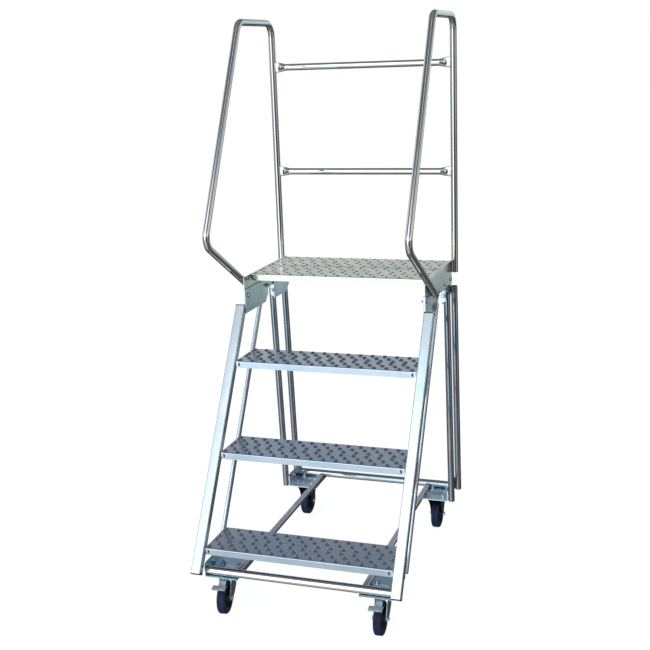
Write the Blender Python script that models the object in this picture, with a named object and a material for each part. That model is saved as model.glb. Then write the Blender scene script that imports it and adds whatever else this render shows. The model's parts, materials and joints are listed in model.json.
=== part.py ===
"""Rolling warehouse ladder: three bent-sheet treads and a two-plank platform
between bolted stiles and legs, two tube handrails with guard bars behind the
platform, two braked swivel casters under the steps and two rigid casters
under the platform.

Metres, +Z up. +X is to the right of someone climbing, +Y is the way they
climb. Shapes are laid out with y = 0 at the nosing of the lowest tread, and
the parent empty "ladder_origin" moves that layout so that the world origin is
at the middle of the footprint, on the floor."""

import math

import bmesh
import bpy
from mathutils import Matrix, Vector

# ---------------------------------------------------------------- dimensions
LAYOUT_SHIFT_Y = 0.40525  # layout y of the middle of the footprint
CLEAR = 0.0003  # gap between pieces that touch

# steps
RISE = 0.250
FIRST_TREAD_Z = 0.212
GOING = 0.1523
TREAD_DEPTH = 0.156
TREAD_HALF = 0.2945
SHEET = 0.002
FLANGE = 0.021
BEND = 0.003
TREADS = 3

# platform
DECK_Z = 0.960
DECK_FRONT_Y = 0.468
PLANK_DEPTH = 0.1565
PLANK_PITCH = 0.157

# handrails and guard bars
RAIL_X = 0.3093
TUBE_R = 0.011
TUBE_WALL = 0.0015
RAIL_PATH = [(0.507, 0.902), (0.165, 1.108), (0.505, 1.748), (0.788, 1.748), (0.788, 0.921)]
RAIL_BEND = 0.045
GUARD_Y = 0.788
GUARD_Z = {"guard_bar_upper": 1.604, "guard_bar_lower": 1.256}
GUARD_HALF = 0.2980

# sheet brackets and side plates
WEB_X = (0.2917, 0.2947)
SIDE_PLATE_X = (0.2950, 0.2980)
BRACKET_OUT_X = 0.3070
FRONT_LUG_OUT_X = 0.3000
CORNER_IN_X = 0.1900
CORNER_Z = (0.1213, 0.1243)
UPRIGHT_TOP_Z = 0.166
FRONT_CORNER_Y = (-0.0075, 0.1300)
REAR_CORNER_Y = (0.720, 0.855)

# stiles, which lean by SLOPE metres back for each metre up
SLOPE = 0.6158
FRONT_STILE = {"x": (0.2950, 0.3250), "deep": 0.025, "y_at_floor": -0.1339, "z": (0.148, 0.870), "wall": 0.0015}
REAR_STILE = {"x": (0.2950, 0.3050), "deep": 0.020, "y_at_floor": 0.0177, "z": (0.150, 0.870), "wall": 0.0015}
CAP = 0.003

# rear legs: y at z = 1 and how far back they come for each metre down
LEG_X = 0.3060
LEG_Z = (0.124, 0.872)
LEGS = {"front": (0.668, 0.065), "rear": (0.785, 0.059)}

# base
CROSS_R = 0.0125
CROSS_HALF = 0.2914
CROSS_Z = 0.1371
CROSS_Y = {"front_cross_tube": 0.008, "rear_cross_tube": 0.832}
BASE_RAIL_X = (0.1905, 0.2085)
BASE_RAIL_Z = (0.1246, 0.1410)
BASE_RAIL_Y = (0.0209, 0.8191)

# casters
WHEEL_R = 0.050
TYRE_HALF = 0.013
WHEEL_SIDES = 32
SWIVEL_X = 0.2470
SWIVEL_Y = 0.0515
TRAIL = 0.038
HEADING_DEG = {"left": 6.5, "right": 2.9}
RIGID_X = 0.2434
RIGID_Y = 0.7756
RIGID_PLATE_Y = 0.785
PLATE_Z = (0.1180, 0.1210)
AXLE_R = 0.0040
BORE_R = 0.0043
PEDAL_PIVOT = (-0.0240, 0.1030)

# ---------------------------------------------------------------- clean start
for old in list(bpy.data.objects):
    bpy.data.objects.remove(old, do_unlink=True)
for old in list(bpy.data.meshes):
    bpy.data.meshes.remove(old)
for old in list(bpy.data.materials):
    bpy.data.materials.remove(old)


# ---------------------------------------------------------------- materials
def material(name, colour, metallic, roughness):
    made = bpy.data.materials.new(name)
    made.use_nodes = True
    shader = made.node_tree.nodes["Principled BSDF"]
    shader.inputs["Base Color"].default_value = (*colour, 1.0)
    shader.inputs["Metallic"].default_value = metallic
    shader.inputs["Roughness"].default_value = roughness
    made.diffuse_color = (*colour, 1.0)
    return made


# ---------------------------------------------------------------- mesh tools
def new_mesh(name, bm, sharp_deg=35.0):
    """The bmesh as a mesh with its faces pointing out, smooth but for its real edges."""
    bmesh.ops.recalc_face_normals(bm, faces=bm.faces)
    mesh = bpy.data.meshes.new(name)
    bm.to_mesh(mesh)
    bm.free()
    mesh.shade_smooth()
    mesh.set_sharp_from_angle(angle=math.radians(sharp_deg))
    return mesh


def prism(name, outline, axis, low, high):
    """A closed outline extruded along an axis. The outline is in (y, z), (x, z) or (x, y)."""
    place = {
        "X": lambda a, b, c: (c, a, b),
        "Y": lambda a, b, c: (a, c, b),
        "Z": lambda a, b, c: (a, b, c),
    }[axis]
    low, high = min(low, high), max(low, high)
    bm = bmesh.new()
    face = bm.faces.new([bm.verts.new(place(a, b, low)) for a, b in outline])
    grown = bmesh.ops.extrude_face_region(bm, geom=[face])
    moved = [v for v in grown["geom"] if isinstance(v, bmesh.types.BMVert)]
    offset = Vector(place(0.0, 0.0, high - low))
    bmesh.ops.translate(bm, verts=moved, vec=offset)
    return new_mesh(name, bm)


def box(name, x, y, z):
    corners = [(min(x), min(y)), (max(x), min(y)), (max(x), max(y)), (min(x), max(y))]
    return prism(name, corners, "Z", min(z), max(z))


def lathe(name, profile, axis, sides, ring=False):
    """Turns (along, radius) points about an axis. A ring's profile closes on itself and never meets the axis."""
    turn = {
        "X": lambda a, c, s: (a, c, s),
        "Z": lambda a, c, s: (c, s, a),
    }[axis]
    bm = bmesh.new()
    rows = []
    # Half a step of turn puts a flat, not a corner, at the bottom of a wheel.
    angles = [2 * math.pi * (i + 0.5) / sides for i in range(sides)]
    for along, radius in profile:
        if radius == 0.0:
            rows.append([bm.verts.new(turn(along, 0.0, 0.0))])
        else:
            rows.append([bm.verts.new(turn(along, radius * math.cos(t), radius * math.sin(t))) for t in angles])
    pairs = list(zip(rows, rows[1:]))
    if ring:
        pairs.append((rows[-1], rows[0]))
    for first, second in pairs:
        for i in range(sides):
            j = (i + 1) % sides
            corners = [first[i % len(first)], first[j % len(first)], second[j % len(second)], second[i % len(second)]]
            unique = list(dict.fromkeys(corners))
            if len(unique) > 2:
                bm.faces.new(unique)
    return new_mesh(name, bm)


def rounded_path(points, radius, step_deg=11.0):
    """The polyline with each inner corner replaced by an arc that touches both of its runs."""
    points = [Vector(p) for p in points]
    path = [points[0]]
    for before, corner, after in zip(points, points[1:], points[2:]):
        u = (before - corner).normalized()
        v = (after - corner).normalized()
        half = 0.5 * u.angle(v)
        centre = corner + (u + v).normalized() * (radius / math.sin(half))
        reach = radius / math.tan(half)
        start, end = corner + u * reach - centre, corner + v * reach - centre
        sweep = math.pi - 2 * half
        steps = max(2, round(math.degrees(sweep) / step_deg))
        for k in range(steps + 1):
            t = k / steps
            path.append(centre + (start * math.sin((1 - t) * sweep) + end * math.sin(t * sweep)) / math.sin(sweep))
    path.append(points[-1])
    return path


def tube(name, path, radius, wall, sides):
    """A hollow round tube, open at both ends, along a path that lies in one plane."""
    path = [Vector(p) for p in path]
    flat = None
    for a, b, c in zip(path, path[1:], path[2:]):
        cross = (b - a).cross(c - b)
        if cross.length > 1e-9:
            flat = cross.normalized()
            break
    if flat is None:
        along = (path[-1] - path[0]).normalized()
        flat = along.cross(Vector((0, 0, 1)) if abs(along.z) < 0.9 else Vector((1, 0, 0))).normalized()
    bm = bmesh.new()
    rings = {radius: [], radius - wall: []}
    for i, point in enumerate(path):
        into = (path[i] - path[i - 1]).normalized() if i else None
        out = (path[i + 1] - path[i]).normalized() if i + 1 < len(path) else None
        along = ((into or out) + (out or into)).normalized()
        stretch = 1.0 / max(0.5, along.dot(into or out))
        side = along.cross(flat).normalized()
        for r, kept in rings.items():
            kept.append(
                [
                    bm.verts.new(
                        point
                        + flat * (r * math.cos(2 * math.pi * k / sides))
                        + side * (r * stretch * math.sin(2 * math.pi * k / sides))
                    )
                    for k in range(sides)
                ]
            )
    outer, inner = rings[radius], rings[radius - wall]
    for shell in (outer, inner):
        for first, second in zip(shell, shell[1:]):
            for k in range(sides):
                j = (k + 1) % sides
                bm.faces.new([first[k], first[j], second[j], second[k]])
    for end in (0, -1):
        for k in range(sides):
            j = (k + 1) % sides
            bm.faces.new([outer[end][k], outer[end][j], inner[end][j], inner[end][k]])
    return new_mesh(name, bm)


def leaning_bar(name, spec, side, wall=None, z_range=None, start=0.0, length=None, inset=0.0):
    """A rectangular bar along a stile's lean, hollow where it has a wall. start and length run along the lean from the stile's lower end."""
    along = Vector((0.0, SLOPE, 1.0)).normalized()
    back = Vector((0.0, along.z, -along.y))
    z0, z1 = z_range or spec["z"]
    foot = Vector((0.0, spec["y_at_floor"] + SLOPE * z0, z0))
    full = (z1 - z0) / along.z
    length = full if length is None else length
    bm = bmesh.new()
    loops = []
    for extra in ([0.0] if wall is None else [0.0, wall]):
        e = inset + extra
        x0, x1 = spec["x"][0] + e, spec["x"][1] - e
        d0, d1 = e, spec["deep"] - e
        for s in (start, start + length):
            base = foot + along * s
            loops.append(
                [
                    bm.verts.new(base + back * d + Vector((side * x, 0.0, 0.0)))
                    for x, d in ((x0, d0), (x1, d0), (x1, d1), (x0, d1))
                ]
            )
    for low, high in zip(loops[::2], loops[1::2]):
        for k in range(4):
            j = (k + 1) % 4
            bm.faces.new([low[k], low[j], high[j], high[k]])
    if wall is None:
        bm.faces.new(loops[0])
        bm.faces.new(loops[1])
    else:
        for end in (0, 1):
            for k in range(4):
                j = (k + 1) % 4
                bm.faces.new([loops[end][k], loops[end][j], loops[end + 2][j], loops[end + 2][k]])
    return new_mesh(name, bm)


def straight_box_tube(name, x, y, z, wall):
    """A rectangular tube along Y, open at both ends."""
    bm = bmesh.new()
    loops = []
    for e in (0.0, wall):
        for yy in y:
            loops.append(
                [
                    bm.verts.new((xx, yy, zz))
                    for xx, zz in ((x[0] + e, z[0] + e), (x[1] - e, z[0] + e), (x[1] - e, z[1] - e), (x[0] + e, z[1] - e))
                ]
            )
    for low, high in zip(loops[::2], loops[1::2]):
        for k in range(4):
            j = (k + 1) % 4
            bm.faces.new([low[k], low[j], high[j], high[k]])
    for end in (0, 1):
        for k in range(4):
            j = (k + 1) % 4
            bm.faces.new([loops[end][k], loops[end][j], loops[end + 2][j], loops[end + 2][k]])
    return new_mesh(name, bm)


def tray(name, half, y, top, flange):
    """The outer skin of a sheet folded down on all four sides, with rounded folds. Solidify gives it its thickness."""
    bm = bmesh.new()
    low = top - flange
    corners = [(-half, y[0]), (half, y[0]), (half, y[1]), (-half, y[1])]
    upper = [bm.verts.new((a, b, top)) for a, b in corners]
    lower = [bm.verts.new((a, b, low)) for a, b in corners]
    bm.faces.new(upper)
    for k in range(4):
        j = (k + 1) % 4
        bm.faces.new([lower[k], lower[j], upper[j], upper[k]])
    folds = [e for e in bm.edges if not e.is_boundary]
    bmesh.ops.bevel(bm, geom=folds, offset=BEND, offset_type="OFFSET", segments=2, profile=0.5, affect="EDGES")
    bmesh.ops.recalc_face_normals(bm, faces=bm.faces)
    bm.normal_update()
    if max(bm.faces, key=lambda f: f.calc_area()).normal.z < 0:
        bmesh.ops.reverse_faces(bm, faces=bm.faces)
    mesh = bpy.data.meshes.new(name)
    bm.to_mesh(mesh)
    bm.free()
    mesh.shade_smooth()
    mesh.set_sharp_from_angle(angle=math.radians(50.0))
    return mesh


def joined(name, base, others, operation="UNION"):
    """The base mesh with each other mesh united with it, or cut from it."""
    body = bpy.data.objects.new(name + "_base", base)
    bpy.context.scene.collection.objects.link(body)
    helpers = []
    for other in others:
        helper = bpy.data.objects.new(name + "_tool", other)
        helper.hide_render = True
        helper.display_type = "WIRE"
        bpy.context.scene.collection.objects.link(helper)
        helpers.append(helper)
        change = body.modifiers.new("join", "BOOLEAN")
        change.object = helper
        change.operation = operation
        change.solver = "EXACT"
    bpy.context.view_layer.update()
    graph = bpy.context.evaluated_depsgraph_get()
    result = bpy.data.meshes.new_from_object(body.evaluated_get(graph))
    result.name = name
    for gone in [body, *helpers]:
        bpy.data.objects.remove(gone, do_unlink=True)
    result.shade_smooth()
    result.set_sharp_from_angle(angle=math.radians(35.0))
    return result


# ---------------------------------------------------------------- scene tools
def empty(name, parent=None, location=(0, 0, 0), rotation=(0, 0, 0)):
    made = bpy.data.objects.new(name, None)
    made.empty_display_size = 0.05
    made.parent = parent
    made.location = location
    made.rotation_euler = rotation
    bpy.context.scene.collection.objects.link(made)
    return made


def piece(name, mesh, finish, parent, location=(0, 0, 0), rotation=(0, 0, 0)):
    made = bpy.data.objects.new(name, mesh)
    mesh.materials.clear()
    mesh.materials.append(finish)
    made.parent = parent
    made.location = location
    made.rotation_euler = rotation
    bpy.context.scene.collection.objects.link(made)
    return made


ORIGIN = empty("ladder_origin", location=(0, -LAYOUT_SHIFT_Y, 0))
SIDES = (("left", -1.0), ("right", 1.0))

# ---------------------------------------------------------------- treads and platform
zinc_tread = material("tread_zinc", (0.52, 0.53, 0.60), 0.9, 0.32)
zinc_deck = material("deck_zinc", (0.60, 0.60, 0.55), 0.9, 0.30)


def sheet_piece(name, y, top, finish):
    mesh = tray(name, TREAD_HALF, y, top, FLANGE)
    made = piece(name, mesh, finish, ORIGIN)
    thick = made.modifiers.new("sheet", "SOLIDIFY")
    thick.thickness = SHEET
    thick.offset = -1.0
    thick.use_even_offset = True
    return made


for step in range(TREADS):
    front = GOING * step
    sheet_piece(f"tread_{step + 1}", (front, front + TREAD_DEPTH), FIRST_TREAD_Z + RISE * step, zinc_tread)
for index, label in enumerate(("platform_front_plank", "platform_rear_plank")):
    front = DECK_FRONT_Y + PLANK_PITCH * index
    sheet_piece(label, (front, front + PLANK_DEPTH), DECK_Z, zinc_deck)

# ---------------------------------------------------------------- side plates and brackets
zinc_plate = material("plate_zinc", (0.70, 0.71, 0.68), 0.9, 0.28)
zinc_bright = material("bright_zinc", (0.78, 0.81, 0.85), 0.95, 0.22)

SIDE_PLATE = [
    (0.412, 0.9595), (0.412, 0.9200), (0.575, 0.8850), (0.765, 0.8850),
    (0.780, 0.8930), (0.782, 0.9180), (0.798, 0.9210), (0.798, 0.9595),
]
FRONT_WEB = [(0.407, 0.842), (0.580, 0.842), (0.605, 0.867), (0.605, 0.920), (0.407, 0.920)]
REAR_WEB = [(0.660, 0.837), (0.780, 0.837), (0.807, 0.864), (0.807, 0.920), (0.660, 0.920)]


def signed(side, pair):
    return tuple(sorted((side * pair[0], side * pair[1])))


corner_zinc = material("corner_zinc", (0.30, 0.38, 0.41), 0.95, 0.25)
for label, side in SIDES:
    x = signed(side, SIDE_PLATE_X)
    piece(f"side_plate_{label}", prism(f"side_plate_{label}", SIDE_PLATE, "X", *x), zinc_plate, ORIGIN)

    web = prism("web", FRONT_WEB, "X", *signed(side, WEB_X))
    lug = box("lug", signed(side, (WEB_X[0], FRONT_LUG_OUT_X)), (0.407, 0.410), (0.8720, 0.920))
    piece(f"front_bracket_{label}", joined(f"front_bracket_{label}", web, [lug]), zinc_bright, ORIGIN)

    web = prism("web", REAR_WEB, "X", *signed(side, WEB_X))
    outline = [(WEB_X[0], 0.8845), (BRACKET_OUT_X, 0.8845), (BRACKET_OUT_X, 0.852), (0.3025, 0.845), (WEB_X[0], 0.842)]
    lug = prism("lug", [(side * a, b) for a, b in outline], "Y", 0.660, 0.663)
    piece(f"rear_bracket_{label}", joined(f"rear_bracket_{label}", web, [lug]), zinc_bright, ORIGIN)

    angle = [
        (CORNER_IN_X, CORNER_Z[0]), (WEB_X[1], CORNER_Z[0]), (WEB_X[1], UPRIGHT_TOP_Z),
        (WEB_X[0], UPRIGHT_TOP_Z), (WEB_X[0], CORNER_Z[1]), (CORNER_IN_X, CORNER_Z[1]),
    ]
    angle = [(side * a, b) for a, b in angle]
    for end, y in (("front", FRONT_CORNER_Y), ("rear", REAR_CORNER_Y)):
        name = f"corner_bracket_{end}_{label}"
        piece(name, prism(name, angle, "Y", *y), corner_zinc if end == "front" else zinc_bright, ORIGIN)

# ---------------------------------------------------------------- stiles and legs
zinc_stile = material("stile_zinc", (0.80, 0.83, 0.88), 0.95, 0.20)
black_cap = material("end_cap_plastic", (0.03, 0.03, 0.035), 0.0, 0.45)
leg_chrome = material("leg_chrome", (0.82, 0.82, 0.82), 1.0, 0.10)

ALONG = Vector((0.0, SLOPE, 1.0)).normalized()
for label, side in SIDES:
    name = f"front_stile_{label}"
    piece(name, leaning_bar(name, FRONT_STILE, side, wall=FRONT_STILE["wall"]), zinc_stile, ORIGIN)
    name = f"rear_stile_{label}"
    piece(name, leaning_bar(name, REAR_STILE, side, wall=REAR_STILE["wall"]), zinc_stile, ORIGIN)
    full = (FRONT_STILE["z"][1] - FRONT_STILE["z"][0]) / ALONG.z
    plug = 0.008
    for end, cap_start, plug_start in (
        ("bottom", -CLEAR - CAP, -CLEAR - 0.0005),
        ("top", full + CLEAR, full - plug + 0.0005),
    ):
        name = f"stile_cap_{end}_{label}"
        cap = leaning_bar("cap", FRONT_STILE, side, start=cap_start, length=CAP)
        stem = leaning_bar("stem", FRONT_STILE, side, start=plug_start, length=plug + CLEAR, inset=FRONT_STILE["wall"] + CLEAR)
        piece(name, joined(name, cap, [stem]), black_cap, ORIGIN)
    for end, (at_top, spread) in LEGS.items():
        name = f"{end}_leg_{label}"
        low, high = LEG_Z
        path = [(side * LEG_X, at_top + spread * (1 - low), low), (side * LEG_X, at_top + spread * (1 - high), high)]
        piece(name, tube(name, path, TUBE_R, TUBE_WALL, 16), leg_chrome, ORIGIN)

# ---------------------------------------------------------------- handrails and guard bars
rail_chrome = material("rail_chrome", (0.84, 0.84, 0.83), 1.0, 0.08)
for label, side in SIDES:
    name = f"handrail_{label}"
    path = rounded_path([(side * RAIL_X, y, z) for y, z in RAIL_PATH], RAIL_BEND)
    piece(name, tube(name, path, TUBE_R, TUBE_WALL, 14), rail_chrome, ORIGIN)
for name, z in GUARD_Z.items():
    path = [(-GUARD_HALF, GUARD_Y, z), (GUARD_HALF, GUARD_Y, z)]
    piece(name, tube(name, path, TUBE_R, TUBE_WALL, 16), rail_chrome, ORIGIN)

# ---------------------------------------------------------------- base
base_zinc = material("base_zinc", (0.42, 0.40, 0.46), 0.7, 0.5)
for name, y in CROSS_Y.items():
    path = [(-CROSS_HALF, y, CROSS_Z), (CROSS_HALF, y, CROSS_Z)]
    piece(name, tube(name, path, CROSS_R, TUBE_WALL, 16), leg_chrome, ORIGIN)
for label, side in SIDES:
    name = f"base_rail_{label}"
    piece(name, straight_box_tube(name, signed(side, BASE_RAIL_X), BASE_RAIL_Y, BASE_RAIL_Z, 0.0015), base_zinc, ORIGIN)

# ---------------------------------------------------------------- casters
tyre_rubber = material("tyre_rubber", (0.02, 0.025, 0.045), 0.0, 0.55)
rim_plastic = material("rim_plastic", (0.03, 0.03, 0.035), 0.0, 0.45)
fork_zinc = material("fork_zinc", (0.42, 0.44, 0.47), 0.9, 0.25)
rear_fork_zinc = material("rear_fork_zinc", (0.10, 0.11, 0.13), 0.9, 0.35)
bolt_zinc = material("bolt_zinc", (0.62, 0.70, 0.82), 0.95, 0.25)
pedal_zinc = material("pedal_zinc", (0.70, 0.76, 0.84), 0.95, 0.22)

TREAD_R = WHEEL_R / math.cos(math.pi / WHEEL_SIDES)  # corners lie outside the flats
RIM_R = 0.0370
TYRE = [
    (-0.0070, TREAD_R), (0.0070, TREAD_R), (0.0115, TREAD_R - 0.0025), (TYRE_HALF, TREAD_R - 0.0070),
    (TYRE_HALF - 0.0008, RIM_R + CLEAR), (-TYRE_HALF + 0.0008, RIM_R + CLEAR),
    (-TYRE_HALF, TREAD_R - 0.0070), (-0.0115, TREAD_R - 0.0025),
]
RIM_HALF_PROFILE = [(0.0120, RIM_R), (0.0120, RIM_R - 0.0035), (0.0040, RIM_R - 0.0055), (0.0040, 0.0130), (0.0155, 0.0115), (0.0155, BORE_R)]
RIM = [(a, r) for a, r in RIM_HALF_PROFILE] + [(-a, r) for a, r in reversed(RIM_HALF_PROFILE)]
AXLE = [
    (-0.0262, 0.0), (-0.0262, 0.0065), (-0.0208, 0.0065), (-0.0208, AXLE_R), (0.0208, AXLE_R),
    (0.0208, 0.0065), (0.0258, 0.0065), (0.0258, AXLE_R), (0.0275, AXLE_R), (0.0275, 0.0),
]


def drill(y, z, radius=BORE_R, half=0.06):
    """A cutter along X through (y, z)."""
    mesh = lathe("drill", [(-half, 0.0), (-half, radius), (half, radius), (half, 0.0)], "X", 16)
    mesh.transform(Matrix.Translation((0.0, y, z)))
    return mesh


def wheel(tag, parent, hub):
    """Tyre and rim about their own spin axis, and the axle bolt that the fork holds."""
    spin = empty(f"wheel_{tag}_spin", parent, hub)
    piece(f"tyre_{tag}", lathe(f"tyre_{tag}", TYRE, "X", WHEEL_SIDES, ring=True), tyre_rubber, spin)
    piece(f"rim_{tag}", lathe(f"rim_{tag}", RIM, "X", 24, ring=True), rim_plastic, spin)
    piece(f"axle_{tag}", lathe(f"axle_{tag}", AXLE, "X", 12), bolt_zinc, parent, hub)


def arc(cy, cz, radius, start_deg, end_deg, steps):
    return [
        (
            cy + radius * math.cos(math.radians(start_deg + (end_deg - start_deg) * k / steps)),
            cz + radius * math.sin(math.radians(start_deg + (end_deg - start_deg) * k / steps)),
        )
        for k in range(steps + 1)
    ]


# A swivel fork seen from the side: y from the swivel axis, z from the floor.
LEG_OUTLINE = (
    [(-0.0290, 0.1085), (-0.0290, 0.0990), (-0.0465, 0.0600)]
    + arc(-TRAIL, 0.050, 0.0115, 172, 288, 5)
    + [(-0.0200, 0.0400), (-0.0050, 0.0480), (0.0180, 0.0680), (0.0180, 0.1085)]
)
# The brake pedal seen from the side, about its pivot: a bent plate that passes over the tyre and steps down to the toe.
PEDAL_PLATE = [
    (-0.0010, 0.0036), (-0.0050, 0.0066), (-0.0120, 0.0074), (-0.0220, 0.0066), (-0.0280, 0.0040), (-0.0330, -0.0010),
    (-0.0380, -0.0030), (-0.0560, -0.0046), (-0.0600, -0.0080), (-0.0585, -0.0090), (-0.0552, -0.0064), (-0.0375, -0.0050),
    (-0.0318, -0.0028), (-0.0265, 0.0020), (-0.0214, 0.0046), (-0.0120, 0.0054), (-0.0058, 0.0048), (-0.0030, 0.0016),
]
PEDAL_TOE = [(-0.0395, -0.0026), (-0.0565, -0.0041), (-0.0608, -0.0080), (-0.0592, -0.0096), (-0.0556, -0.0070), (-0.0395, -0.0058)]

for label, side in SIDES:
    tag = f"front_{label}"
    fixed = empty(f"caster_{tag}_mount", ORIGIN, (side * SWIVEL_X, SWIVEL_Y, 0.0))
    swivel = empty(f"caster_{tag}_swivel", fixed, rotation=(0, 0, math.radians(HEADING_DEG[label])))

    name = f"caster_plate_{tag}"
    hole = lathe("hole", [(0.11, 0.0), (0.11, 0.0056), (0.13, 0.0056), (0.13, 0.0)], "Z", 16)
    plate = box("plate", (-0.0350, 0.0350), (-0.0450, 0.0450), PLATE_Z)
    piece(name, joined(name, plate, [hole], "DIFFERENCE"), bolt_zinc, fixed)

    name = f"swivel_race_{tag}"
    race = [(0.1088, 0.0062), (0.1088, 0.0150), (0.1115, 0.0175), (0.1150, 0.0175), (0.1177, 0.0155), (0.1177, 0.0062)]
    piece(name, lathe(name, race, "Z", 20, ring=True), bolt_zinc, fixed)

    name = f"kingpin_{tag}"
    pin = [(0.1018, 0.0), (0.1018, 0.0085), (0.1052, 0.0085), (0.1052, 0.0053), (0.1208, 0.0053), (0.1208, 0.0)]
    piece(name, lathe(name, pin, "Z", 12), bolt_zinc, fixed)

    name = f"caster_fork_{tag}"
    crown = box("crown", (-0.0205, 0.0205), (-0.0180, 0.0180), (0.1055, 0.1085))
    near = prism("near", LEG_OUTLINE, "X", -0.0205, -0.0180)
    far = prism("far", LEG_OUTLINE, "X", 0.0180, 0.0205)
    fork = joined("fork", crown, [near, far])
    well = lathe("well", [(0.09, 0.0), (0.09, 0.0056), (0.12, 0.0056), (0.12, 0.0)], "Z", 16)
    pivot_hole = drill(*PEDAL_PIVOT, radius=0.0025)
    fork = joined(name, fork, [drill(-TRAIL, 0.050), well, pivot_hole], "DIFFERENCE")
    piece(name, fork, fork_zinc, swivel)
    wheel(tag, swivel, (0.0, -TRAIL, WHEEL_R))

    name = f"brake_pedal_{tag}"
    hinge = empty(f"pedal_{tag}_hinge", swivel, (0.0, *PEDAL_PIVOT))
    pedal = lathe("barrel", [(-0.0202, 0.0), (-0.0202, 0.0022), (-0.0120, 0.0022), (-0.0120, 0.0038), (0.0120, 0.0038), (0.0120, 0.0022), (0.0202, 0.0022), (0.0202, 0.0)], "X", 12)
    arm = prism("arm", PEDAL_PLATE, "X", -0.0105, 0.0105)
    toe = prism("toe", PEDAL_TOE, "X", -0.0260, 0.0150)
    piece(name, joined(name, pedal, [arm, toe]), pedal_zinc, hinge)

# A rigid fork's leg from top to bottom: z, x of its outer face, and its y range from the wheel centre.
RIGID_LEG = [
    (0.1195, 0.0300, -0.030, 0.047), (0.1080, 0.0265, -0.029, 0.045), (0.0920, 0.0215, -0.026, 0.036),
    (0.0700, 0.0205, -0.019, 0.023), (0.0500, 0.0205, -0.0125, 0.0125), (0.0430, 0.0205, -0.0105, 0.0105),
    (0.0385, 0.0205, -0.0060, 0.0060),
]


def rigid_leg(side):
    bm = bmesh.new()
    thick = 0.0025
    rows = []
    for z, x, y0, y1 in RIGID_LEG:
        rows.append([bm.verts.new((side * xx, yy, z)) for xx, yy in ((x, y0), (x, y1), (x - thick, y1), (x - thick, y0))])
    for first, second in zip(rows, rows[1:]):
        for k in range(4):
            j = (k + 1) % 4
            bm.faces.new([first[k], first[j], second[j], second[k]])
    bm.faces.new(rows[0])
    bm.faces.new(rows[-1])
    return new_mesh("rigid_leg", bm)


for label, side in SIDES:
    tag = f"rear_{label}"
    fixed = empty(f"caster_{tag}_mount", ORIGIN, (side * RIGID_X, RIGID_Y, 0.0))
    name = f"caster_fork_{tag}"
    away = RIGID_PLATE_Y - RIGID_Y
    plate = box("plate", (-0.0350, 0.0350), (away - 0.0450, away + 0.0450), PLATE_Z)
    fork = joined("fork", plate, [rigid_leg(-1.0), rigid_leg(1.0)])
    piece(name, joined(name, fork, [drill(0.0, 0.050)], "DIFFERENCE"), rear_fork_zinc, fixed)
    wheel(tag, fixed, (0.0, 0.0, WHEEL_R))
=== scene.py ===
"""Looks of the rolling warehouse ladder: perforated zinc treads, bright bent
tubes, zinc-plated stiles and brackets with their bolts, and four casters,
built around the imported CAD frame."""

import json
import math

import bmesh
import bpy
import numpy as np
from mathutils import Matrix, Vector
from mathutils.geometry import delaunay_2d_cdt

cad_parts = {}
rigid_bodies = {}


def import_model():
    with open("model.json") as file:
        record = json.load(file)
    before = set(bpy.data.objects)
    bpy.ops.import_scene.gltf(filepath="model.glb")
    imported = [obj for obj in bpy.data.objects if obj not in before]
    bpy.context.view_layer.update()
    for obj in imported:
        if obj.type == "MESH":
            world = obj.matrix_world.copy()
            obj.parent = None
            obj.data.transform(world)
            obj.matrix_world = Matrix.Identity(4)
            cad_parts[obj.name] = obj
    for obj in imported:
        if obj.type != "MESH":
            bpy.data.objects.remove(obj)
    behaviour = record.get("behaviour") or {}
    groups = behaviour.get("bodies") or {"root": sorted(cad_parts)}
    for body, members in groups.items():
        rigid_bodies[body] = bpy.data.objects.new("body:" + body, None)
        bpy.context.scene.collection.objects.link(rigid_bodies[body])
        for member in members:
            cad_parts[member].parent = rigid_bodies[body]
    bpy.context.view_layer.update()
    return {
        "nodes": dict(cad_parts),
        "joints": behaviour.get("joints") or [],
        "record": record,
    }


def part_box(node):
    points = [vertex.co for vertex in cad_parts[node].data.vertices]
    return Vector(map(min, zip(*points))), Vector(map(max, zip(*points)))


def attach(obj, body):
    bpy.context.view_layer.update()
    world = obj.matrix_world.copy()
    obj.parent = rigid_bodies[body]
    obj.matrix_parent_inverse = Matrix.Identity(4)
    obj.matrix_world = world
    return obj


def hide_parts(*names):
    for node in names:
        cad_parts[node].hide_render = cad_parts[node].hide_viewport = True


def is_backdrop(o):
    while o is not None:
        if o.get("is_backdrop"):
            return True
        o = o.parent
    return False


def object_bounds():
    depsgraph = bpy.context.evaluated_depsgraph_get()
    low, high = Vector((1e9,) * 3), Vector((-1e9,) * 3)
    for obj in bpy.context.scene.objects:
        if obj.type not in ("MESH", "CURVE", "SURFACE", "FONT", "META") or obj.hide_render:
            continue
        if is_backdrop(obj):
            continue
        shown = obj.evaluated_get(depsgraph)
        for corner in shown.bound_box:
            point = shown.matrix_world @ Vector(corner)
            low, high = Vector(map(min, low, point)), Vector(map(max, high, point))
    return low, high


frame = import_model()
NODES = frame["nodes"]
RECORD = frame["record"]
SLOT_OF = {s["node"]: s["material_slot"] for s in RECORD["subparts"]}
JOINTS = {j["name"]: j for j in frame["joints"]}

# The nosing of the lowest tread, which every y below is measured from.
Y0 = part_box("tread_1")[0].y
SIDES = (("left", -1.0), ("right", 1.0))


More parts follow.
